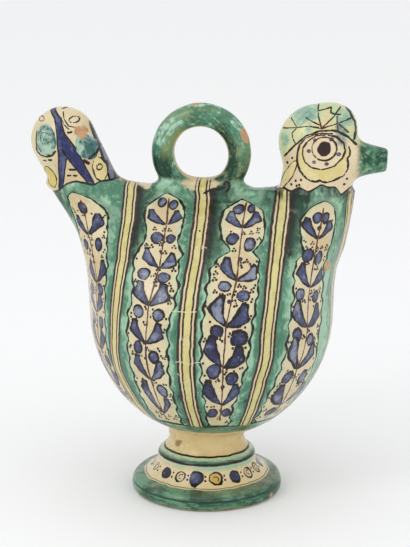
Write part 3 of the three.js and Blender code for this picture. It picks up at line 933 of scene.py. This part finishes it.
CREAM = "#D6C8A4"
WARM_CREAM = "#C8B48A"
GREEN_CREAM = "#C3D0A6"
THIN_GREEN = "#97BE9F"
MID_GREEN = "#467C62"
DARK_GREEN = "#11402A"
POOLED = "#0C1712"
STRIPE_YELLOW = "#D1C788"
PETAL_YELLOW = "#C7A452"
PALE_BLUE = "#868C9C"
MID_BLUE = "#464E70"
DEEP_BLUE = "#1C2044"
BROWN = "#130D10"
RED_BROWN = "#4A2A1E"
BARE_CLAY = "#C9A079"
BUFF = "#D8C28C"
INNER_CLAY = "#C2A27C"

glaze = bpy.data.materials.new("painted_glaze")
glaze.use_nodes = True
tree = glaze.node_tree
tree.nodes.clear()


# A number or colour at a point of the surface, for sums written plainly
class Value:
    def __init__(self, socket):
        self.socket = socket

    def __abs__(self):
        return calc("ABSOLUTE", self)

    # One more layer of colour on a paint, where a mask says
    def lay(self, mask, shade):
        self.socket = blend(mask, self, shade).socket


def put(socket, value):
    if isinstance(value, Value):
        tree.links.new(value.socket, socket)
    else:
        socket.default_value = colour(value) if isinstance(value, str) else value


def node(kind, inputs={}, **settings):
    made = tree.nodes.new("ShaderNode" + kind)
    for name, value in settings.items():
        setattr(made, name, value)
    for name, value in inputs.items():
        put(made.inputs[name], value)
    return made


def calc(operation, *values):
    return Value(node("Math", dict(enumerate(values)), operation=operation).outputs[0])


SUMS = {"add": "ADD", "sub": "SUBTRACT", "mul": "MULTIPLY", "truediv": "DIVIDE", "pow": "POWER"}
for sign, operation in SUMS.items():
    setattr(Value, f"__{sign}__", lambda a, b, kind=operation: calc(kind, a, b))
    setattr(Value, f"__r{sign}__", lambda a, b, kind=operation: calc(kind, b, a))


def ease(value, low, high):
    limits = {"Value": value, "From Min": low, "From Max": high}
    return Value(node("MapRange", limits, interpolation_type="SMOOTHSTEP").outputs[0])


def blend(amount, a, b):
    return Value(node("Mix", {0: amount, 6: a, 7: b}, data_type="RGBA").outputs[2])


def field(name):
    return Value(node("Attribute", attribute_name=name).outputs["Fac"])


def split(vector):
    return [Value(part) for part in node("SeparateXYZ", {0: vector}).outputs]


def stroke(name):
    return split(Value(node("Attribute", attribute_name=name).outputs["Vector"]))


spot = Value(node("TexCoord").outputs["Object"])


# The place on the jug, drawn out or pressed together in height
def scaled_height(factor):
    return Value(node("VectorMath", {0: spot, 1: (1.0, 1.0, factor)}, operation="MULTIPLY").outputs[0])


def noise(scale, detail, roughness, where=spot, twist=0.0):
    inputs = {"Vector": where, "Scale": scale, "Detail": detail, "Roughness": roughness, "Distortion": twist}
    return Value(node("TexNoise", inputs).outputs["Fac"])


def more(value, limit, soft=0.12):
    return ease(value, limit - soft, limit + soft)


def less(value, limit, soft=0.12):
    return 1.0 - more(value, limit, soft)


def within(value, low, high, soft=0.12):
    return more(value, low, soft) * less(value, high, soft)


# A noise as plus or minus half of an amount
def sway(value, amount):
    return (value - 0.5) * amount


broad = noise(20, 4, 0.6)
patchy = noise(62, 5, 0.62, spot, 0.6)
fine = noise(240, 4, 0.65)
streaks = noise(120, 4, 0.6, scaled_height(0.3), 0.4)
wobble = sway(noise(105, 2, 0.5), 1.7)
uneven = noise(330, 3, 0.6)
inked = ease(0.8 * uneven + 0.5 * patchy, 0.3, 0.62)
ink = blend(inked, RED_BROWN, BROWN)
thin_ink = blend(0.7 * inked, "#50291E", "#180C0C")
press = 0.55 + 0.9 * ease(noise(140, 2, 0.5), 0.36, 0.64)

# Green wash, from thin to pooled
border, rise, lee, stripe = map(field, ("border", "rise", "lee", "stripe"))
drips = noise(300, 4, 0.62, scaled_height(0.14), 0.3)
outside = calc("MAXIMUM", -1.0 * border, 0.0)
between = outside / calc("MAXIMUM", outside + 0.7 * (stripe - 8.0), 2.0)
between = calc("MINIMUM", calc("MAXIMUM", between, 0.0), 1.0)
depth = 0.24 * broad + 0.34 * streaks + 0.26 * drips + 0.3 * patchy + 0.16 * fine
depth = depth + 0.17 * between + 0.03 * ease(rise, 0.0, 100.0) + 0.05 * less(rise, -30.0, 40.0)
wash = blend(ease(depth, 0.67, 0.8), THIN_GREEN, MID_GREEN)
wash.lay(ease(depth, 0.82, 0.95), DARK_GREEN)
wash.lay(ease(fine, 0.58, 0.74) * 0.18, "#B5D4B4")
cream = blend(ease(broad, 0.38, 0.66), CREAM, WARM_CREAM)
cream.lay(ease(patchy, 0.52, 0.72) * 0.4, "#E6DCBE")
cream.lay(ease(fine, 0.62, 0.78) * 0.4, "#B79C72")

# Body: wash, panels and stripes
stripe_edge = stripe + 0.6 * wobble
border_edge = border + 1.1 * wobble
high = ease(rise + 80.0 * broad, 75, 150)
body_paint = blend(less(border, -1.0, 0.5) * more(border, -5.5, 3.0) * (0.4 * high), wash, DARK_GREEN)
pale_wash = ease(rise, 20.0, 90.0) * ease(0.6 * patchy + 0.4 * streaks, 0.5, 0.6)
body_paint.lay(pale_wash * 0.5, "#9CC2A6")
run = less(lee, -6.0, 5.0) * more(stripe, 7.0, 1.0) * ease(rise + 70.0 * patchy, 82, 128)
body_paint.lay(run * (0.25 + 0.7 * ease(streaks, 0.38, 0.6)), DARK_GREEN)
pool = less(lee + sway(drips, 14.0), -4.0, 7.0) * less(stripe + 26.0 * streaks, 27.5, 4.0)
pool = pool * ease(rise + 60.0 * drips, 76, 112)
body_paint.lay(0.95 * pool, POOLED)
tint = less(border + 4.0 * patchy, 5.2, 2.6) * (0.55 + 0.4 * ease(broad, 0.4, 0.6))
panel_paint = blend(tint, cream, blend(ease(patchy, 0.4, 0.65), GREEN_CREAM, THIN_GREEN))
body_paint.lay(more(border_edge, 0.0), panel_paint)
border_line = abs(border_edge) - 0.95 * press
body_paint.lay(less(border_line, 0.0, 0.3), ink)
body_paint.lay(less(stripe_edge, 7.6), cream)
stripe_yellow = blend(ease(streaks, 0.42, 0.62), STRIPE_YELLOW, "#C4BA76")
body_paint.lay(less(stripe_edge, 3.0, 0.3), stripe_yellow)
stripe_ink = blend(0.6 * press, RED_BROWN, BROWN)
stripe_press = stripe_edge + 0.5 * (press - 1.0)
body_paint.lay(within(stripe_press, 2.9, 4.6, 0.3), stripe_ink)
body_paint.lay(within(stripe_press, 6.2, 8.6, 0.3), stripe_ink)
worn = ease(0.6 * fine + 0.6 * patchy, 0.72, 0.8) * less(stripe, 9.0, 1.0)
body_paint.lay(0.7 * worn, cream)
body_paint.lay(less(rise + 1.0 * wobble, -88.0, 0.5), wash)
body_paint.lay(within(rise + 0.8 * wobble, -88.6, -86.4, 0.3) * more(stripe, 8.0, 1.0), ink)
ridge = field("ridge") + 1.5 * wobble + sway(patchy, 9.0)
body_paint.lay(more(ridge, 0.0, 0.8) * more(stripe, 7.4, 0.5), cream)

# Foot: bare stem, pale green moulding, cream collar and green flange
place_x, place_y, place_z = split(spot)
level = MILLIMETRES * place_z
across = MILLIMETRES * place_x
level_edge = level + 0.7 * wobble
stem = blend(ease(broad, 0.4, 0.62), BUFF, "#C9AC72")
stem.lay(ease(patchy, 0.5, 0.7) * 0.5, "#E2D2A4")
stain = ease(field("stain") + sway(fine, 1.5), 0.5, 1.0)
stem.lay(stain * 0.75, "#7C5230")
bands = noise(110, 4, 0.6, scaled_height(4.0), 0.5)
moulding = blend(ease(-0.25 * level + bands, -8.35, -7.65), "#B6CBA6", "#34604C")
collar = blend(0.45, cream, "#E6D3A2")
collar.lay(more(level, 27.0, 2.5) * ease(broad, 0.3, 0.6), THIN_GREEN)
flange_depth = 0.45 * bands + 0.4 * broad + 0.3 * patchy
flange = blend(ease(flange_depth, 0.5, 0.62), "#648F71", "#285B44")
flange.lay(ease(flange_depth, 0.6, 0.72), "#16362A")
top_face = more(level, 11.6, 1.2)
flange.lay(top_face * ease(broad, 0.36, 0.6) * 0.4, "#959C78")
flange.lay(top_face * ease(patchy, 0.5, 0.64) * 0.65, "#3E4638")
flange.lay(within(level_edge, 7.6, 9.2, 0.5) * 0.85, "#142A20")
flange.lay(less(level, 2.2, 1.0) * ease(fine, 0.45, 0.6) * 0.6, "#A9995F")
foot_paint = blend(less(level_edge, 36.4, 0.25), stem, moulding)
foot_paint.lay(less(level_edge, 31.2, 0.25), collar)
foot_paint.lay(less(level_edge, 14.8, 0.25), flange)
for at_level, half, shade in ((36.4, 0.6, ink), (31.4, 0.95, ink), (15.4, 0.16, thin_ink)):
    foot_paint.lay(within(level_edge, at_level - half, at_level + half, 0.2), shade)
paint = blend(less(level, 62.0, 1.0), body_paint, foot_paint)

# Tail
tail_area, head_area = map(field, ("tail_area", "head_area"))
tail_paint = blend(0.5 * ease(patchy, 0.5, 0.7), cream, "#D7CDA0")
tail_paint.lay(0.35 * (less(across, -118, 8) * ease(patchy, 0.45, 0.6)), GREEN_CREAM)
band = field("band") + 0.5 * wobble
side_band = field("side_band") + 0.5 * wobble
band_blue = blend(ease(0.7 * streaks + 0.4 * fine, 0.46, 0.7), "#222858", "#5F6786")
tail_paint.lay(more(band, 0.0), band_blue)
tail_paint.lay(less(abs(band), 0.6, 0.2), BROWN)
side_blue = blend(ease(fine, 0.4, 0.65), "#6A6B82", "#8C8796")
tail_paint.lay(more(side_band, 0.0), side_blue)
tail_paint.lay(less(abs(side_band), 0.6, 0.2), BROWN)
paint.lay(more(tail_area, 0.0), tail_paint)
paint.lay(less(abs(tail_area + 1.2 * wobble), 0.8, 0.25), ink)

# Head
crest = field("crest")
crest_tint = 0.9 * field("crest_tint") + sway(patchy, 2.6) + sway(fine, 1.6)
crest_paint = blend(ease(patchy, 0.42, 0.6), "#CFCB98", "#B9CBA2")
crest_paint.lay(ease(crest_tint, 0.25, 0.8), "#8BAF9A")
crest_paint.lay(ease(crest_tint, 0.85, 1.2) * 0.7, "#648888")
crest_paint.lay(less(crest_tint, -0.45, 0.3) * 0.8, "#D8C493")
head_paint = blend(0.5, cream, "#E4D3B2")
head_paint.lay(ease(patchy, 0.5, 0.66) * 0.4, "#DCC3A2")
head_paint.lay(more(crest, 0.0), crest_paint)
petal_paint = blend(ease(patchy, 0.4, 0.6), "#D3C280", "#DDD09E")
head_paint.lay(more(field("petals"), 0.0, 0.3), petal_paint)
smudge = ease(field("smudge") + sway(patchy, 1.4), 0.35, 0.95)
smudge_paint = blend(ease(fine, 0.4, 0.6), "#54686E", "#8DA890")
head_paint.lay(0.8 * smudge, smudge_paint)
beak_green = blend(ease(0.6 * patchy + 0.5 * fine, 0.43, 0.6), DARK_GREEN, MID_GREEN)
# Pale speckles on the beak: partly a painted highlight, partly pale speckle in the glaze
beak_green.lay(ease(0.8 * fine + 0.3 * uneven, 0.58, 0.7) * 0.8, "#A2B483")
head_paint.lay(ease(across + 3.0 * wobble, 116.0, 123.0), beak_green)
under_head = within(head_area, -8.0, 1.0, 4.0) * ease(streaks + 0.4 * fine, 0.56, 0.76)
paint.lay(0.8 * under_head, POOLED)
paint.lay(more(head_area, 0.0), head_paint)
paint.lay(less(abs(head_area + 1.2 * wobble), 0.75, 0.25), ink)

# Ring handle
ring_area, ring_turn, ring_out = map(field, ("ring_area", "ring_turn", "ring_out"))
ring_place = node("CombineXYZ", {0: 0.00016 * ring_turn, 1: 0.001 * ring_out, 2: place_y})
ring_streaks = noise(130, 5, 0.65, Value(ring_place.outputs[0]), 0.8)
# The ring is darker on the lower left outside, on the inner right, the lower right and the crown, and paler
# outside at the upper left and upper right
lower_left = within(ring_turn, -165, -88, 18) * more(ring_out, -4.5, 3.0)
inner_right = within(ring_turn, 35, 170, 14) * less(ring_out, -1.0, 3.0) * more(ring_out, -8.0, 1.5)
lower_right = within(ring_turn, 100, 170, 16)
crown = within(ring_turn, -28, 40, 16) * within(ring_out, -5.0, 4.0, 3.0)
pale_left = within(ring_turn, -78, -18, 14) * more(ring_out, -1.0, 3.0)
pale_right = within(ring_turn, 42, 92, 12) * more(ring_out, -1.0, 3.0)
ring_darkness = 0.7 * ring_streaks + 0.4 * patchy + 0.3 * fine - 0.14
ring_darkness = ring_darkness + 0.17 * lower_left + 0.17 * inner_right + 0.06 * lower_right + 0.05 * crown
ring_darkness = ring_darkness + -0.05 * pale_left + -0.05 * pale_right
ring_paint = blend(ease(ring_darkness, 0.45, 0.55), "#A3C6AE", MID_GREEN)
ring_paint.lay(ease(ring_darkness, 0.55, 0.68), "#0A3823")
gold = within(ring_turn, -92, -34, 16) * less(ring_out, 0.5, 3.0)
gold = gold * ease(ring_streaks + 0.5 * patchy + 0.4 * fine, 0.86, 1.0)
ring_paint.lay(gold * 0.55, "#AFB46C")
sage = ease(ring_streaks + 0.6 * fine, 0.78, 0.94) * more(ring_turn, -60, 10)
ring_paint.lay(sage * 0.45, "#A6BA84")
ring_paint.lay(ease(uneven, 0.62, 0.74) * 0.4, "#A9C2A0")
rim = field("ring_rim") + 5.0 * patchy
ring_paint.lay(ease(rim, 8.2, 10.6) * 0.85, "#C9B283")
paint.lay(more(ring_area + 4.0 * patchy, 2.0, 2.0), ring_paint)

# Filling mouth: green, with a dark line about it and a worn lip
mouth = field("mouth") + 1.0 * wobble
worn_lip = more(level, 238.6, 0.7) * ease(patchy + 0.5 * fine, 0.62, 0.8)
lip_paint = blend(0.85 * worn_lip, blend(0.4, wash, DARK_GREEN), cream)
paint.lay(more(mouth, 0.0), lip_paint)
paint.lay(less(abs(mouth), 0.8, 0.25), ink)


# Brush strokes over the ground
def tone_fill(tone, edge):
    shade = 0.95 * tone - 0.06 + sway(patchy, 1.7) + sway(fine, 1.3) + 0.18 * edge
    blue = blend(ease(shade, 0.0, 0.55), PALE_BLUE, MID_BLUE)
    blue.lay(ease(shade, 0.4, 1.05), DEEP_BLUE)
    blue.lay(ease(drips, 0.56, 0.7) * 0.3, "#1B1A30")
    blue.lay(ease(uneven, 0.58, 0.72) * 0.35, "#A9AAA6")
    green = blend(ease(patchy + 0.5 * fine, 0.64, 0.8), "#A4C0A8", "#2A5F58")
    green.lay(ease(streaks, 0.5, 0.64) * 0.6, "#6F86A0")
    fill = blend(more(tone, 1.5), blue, green)
    fill.lay(more(tone, 2.8), PETAL_YELLOW)
    lemon = blend(ease(patchy, 0.4, 0.62), "#D0BE6C", "#B79E48")
    fill.lay(more(tone, 3.12, 0.05), lemon)
    fill.lay(more(tone, 3.4), "#DDCB92")
    fill.lay(more(tone, 4.5), cream)
    return blend(less(tone, -0.5), fill, blend(0.9 * uneven, "#3A221C", BROWN))


round_x, round_y, round_tone = stroke("round")
reach = calc("SQRT", round_x * round_x + round_y * round_y)
reach = reach + 0.42 * wobble
paint.lay(less(reach, 1.06, 0.05), tone_fill(round_tone, ease(reach, 0.4, 0.95)))
rim_gap = abs(reach - 1.0) - 0.155 * press
paint.lay(less(rim_gap, 0.0, 0.06) * more(round_tone, -0.5), ink)

leaf_along, leaf_across, leaf_tone = stroke("leaf")
curved = 1.3 * (leaf_along * (1.0 - leaf_along))
curved = leaf_across + calc("MAXIMUM", curved, 0.0)
flare = calc("MAXIMUM", leaf_along / 0.72, 0.0) ** 0.78
flare = flare + 9.0 * calc("MINIMUM", leaf_along, 0.0)
sides = flare - abs(curved)
end = 0.16 * abs(curved - 0.6)
end = 3.4 * (1.06 - end - leaf_along)
wedge = calc("SMOOTH_MIN", sides, end, 0.4)
u = calc("MAXIMUM", leaf_along, 0.0) ** 1.1
hump = 1.0 - abs(2.0 * u - 1.0) ** 2.0
hump = calc("MAXIMUM", hump, 0.0) ** 0.55
oval = hump - abs(leaf_across)
oval = calc("MINIMUM", oval, 5.0 * calc("MINIMUM", leaf_along, 1.0 - leaf_along))
is_oval = more(leaf_tone, 1.5)
room = wedge * (1.0 - is_oval) + oval * is_oval
room = room + 0.34 * wobble
paint.lay(more(room, 0.0, 0.03), tone_fill(leaf_tone, less(room, 0.5, 0.4)))
leaf_line = less(abs(room) - press * (0.175 - 0.055 * is_oval), 0.0, 0.06)
leaf_line = leaf_line * (1.0 - within(leaf_tone, 1.9, 2.9))
paint.lay(leaf_line, ink)

line_across, line_beyond, line_half = stroke("line")
line_away = line_across + 0.5 * wobble
line_away = calc("SQRT", line_away * line_away + line_beyond * line_beyond)
drawn = less(line_away - line_half * (0.35 + 0.65 * press), 0.0, 0.15)
line_ink = blend(less(line_half, 0.73, 0.01), ink, thin_ink)
stem_ink = blend(0.8 * inked, "#84503A", "#3A1A12")
line_ink.lay(within(line_half, 0.645, 0.675, 0.005), stem_ink)
paint.lay(drawn, blend(less(line_half, 0.32, 0.01), line_ink, "#D9CFAE"))

# Wear: bare clay where the glaze is lost, pits, and fine cracks in the glaze
bare = more(field("bare") + sway(patchy, 1.6) + sway(fine, 0.8), 0.12, 0.06)
paint.lay(bare, blend(ease(fine, 0.35, 0.65), BARE_CLAY, "#B58A60"))
pits = ease(noise(620, 2, 0.5), 0.7, 0.76) * ease(broad, 0.42, 0.6)
paint.lay(pits * 0.45, "#4A3826")
cracks = node("TexVoronoi", {"Vector": spot, "Scale": 210.0}, feature="DISTANCE_TO_EDGE")
crack = less(Value(cracks.outputs["Distance"]), 0.02, 0.015) * ease(patchy, 0.4, 0.6)
paint.lay(crack * 0.3, "#6B4A30")
inner = field("inner")
paint.lay(inner, blend(ease(patchy, 0.4, 0.6), INNER_CLAY, "#AE8B66"))

matt = calc("MAXIMUM", calc("MAXIMUM", inner, bare), 0.12 * (less(level, 60, 2) * more(level, 37, 1)))
rough = 0.1 + 0.14 * patchy + 0.08 * fine
relief = 0.4 * fine + patchy + 0.2 * uneven
relief = relief - (0.7 * bare + 0.5 * pits + 0.25 * crack)
bump = node("Bump", {"Strength": 0.3, "Distance": 0.0007, "Height": relief})
gloss = {"Specular IOR Level": 0.36, "Roughness": rough + 0.45 * matt, "Normal": Value(bump.outputs[0])}
shader = node("BsdfPrincipled", {"Base Color": paint} | gloss)
node("OutputMaterial", {"Surface": Value(shader.outputs[0])})
carved.materials.clear()
carved.materials.append(glaze)
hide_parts("jug")
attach(jug, "root")

# Pale floor, wide enough to fill the view from any side
FLOOR_RADIUS, FLOOR_SIDES = 40.0, 64
floor_turns = [2 * math.pi * i / FLOOR_SIDES for i in range(FLOOR_SIDES)]
floor_points = [(FLOOR_RADIUS * math.cos(a), FLOOR_RADIUS * math.sin(a), 0.0) for a in floor_turns]
floor = mesh_object("floor", floor_points, [list(range(FLOOR_SIDES))])
pale = bpy.data.materials.new("pale_paper")
pale.use_nodes = True
pale_shader = pale.node_tree.nodes["Principled BSDF"]
pale_shader.inputs["Base Color"].default_value = (0.93, 0.935, 0.945, 1)
pale_shader.inputs["Roughness"].default_value = 0.9
floor.data.materials.append(pale)
floor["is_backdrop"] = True

# Soft studio light
world = bpy.data.worlds.new("studio")
world.use_nodes = True
world.node_tree.nodes["Background"].inputs["Color"].default_value = (1.0, 1.0, 1.0, 1)
world.node_tree.nodes["Background"].inputs["Strength"].default_value = 0.94
bpy.context.scene.world = world


def panel_light(name, position, target, size, power):
    data = bpy.data.lights.new(name, "AREA")
    data.shape = "RECTANGLE"
    data.size, data.size_y = size
    data.energy = power
    lamp = bpy.data.objects.new(name, data)
    lamp.location = position
    away = np.array(position) - np.array(target)
    tilt = math.acos(away[2] / np.linalg.norm(away))
    lamp.rotation_euler = (tilt, 0, math.atan2(away[1], away[0]) + math.pi / 2)
    bpy.context.scene.collection.objects.link(lamp)


panel_light("key", (-0.9, -1.2, 1.3), (0, 0, 0.17), (0.5, 0.7), 5)
panel_light("fill", (1.3, -0.9, 0.9), (0, 0, 0.17), (1.0, 1.2), 2)
panel_light("top", (0.15, -0.7, 1.7), (0, -0.1, 0.0), (1.4, 1.4), 1.5)

# Camera
AZIMUTH, ELEVATION, DISTANCE = math.radians(9), math.radians(14.5), 1.5
IMAGE_WIDTH, FOCAL_PIXELS, SENSOR = 410, 1875, 36
camera_data = bpy.data.cameras.new("camera")
camera_data.sensor_fit = "HORIZONTAL"
camera_data.sensor_width = SENSOR
camera_data.lens = FOCAL_PIXELS * SENSOR / IMAGE_WIDTH
camera = bpy.data.objects.new("camera", camera_data)
toward = np.array(
    [math.sin(AZIMUTH) * math.cos(ELEVATION), -math.cos(AZIMUTH) * math.cos(ELEVATION), math.sin(ELEVATION)]
)
rightward = np.array([math.cos(AZIMUTH), math.sin(AZIMUTH), 0.0])
upward = np.cross(toward, rightward)
aim = np.array([0, 0, 0.155]) - rightward * 0.0016 + upward * 0.0236
camera.location = aim + toward * DISTANCE
camera.rotation_euler = (math.pi / 2 - ELEVATION, 0, AZIMUTH)
bpy.context.scene.collection.objects.link(camera)
bpy.context.scene.camera = camera
bpy.context.scene.view_settings.view_transform = "Standard"

model_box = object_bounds()
plain = lambda box: [[float(v) for v in corner] for corner in box]
{"cad": plain(cad_box), "model": plain(model_box)}
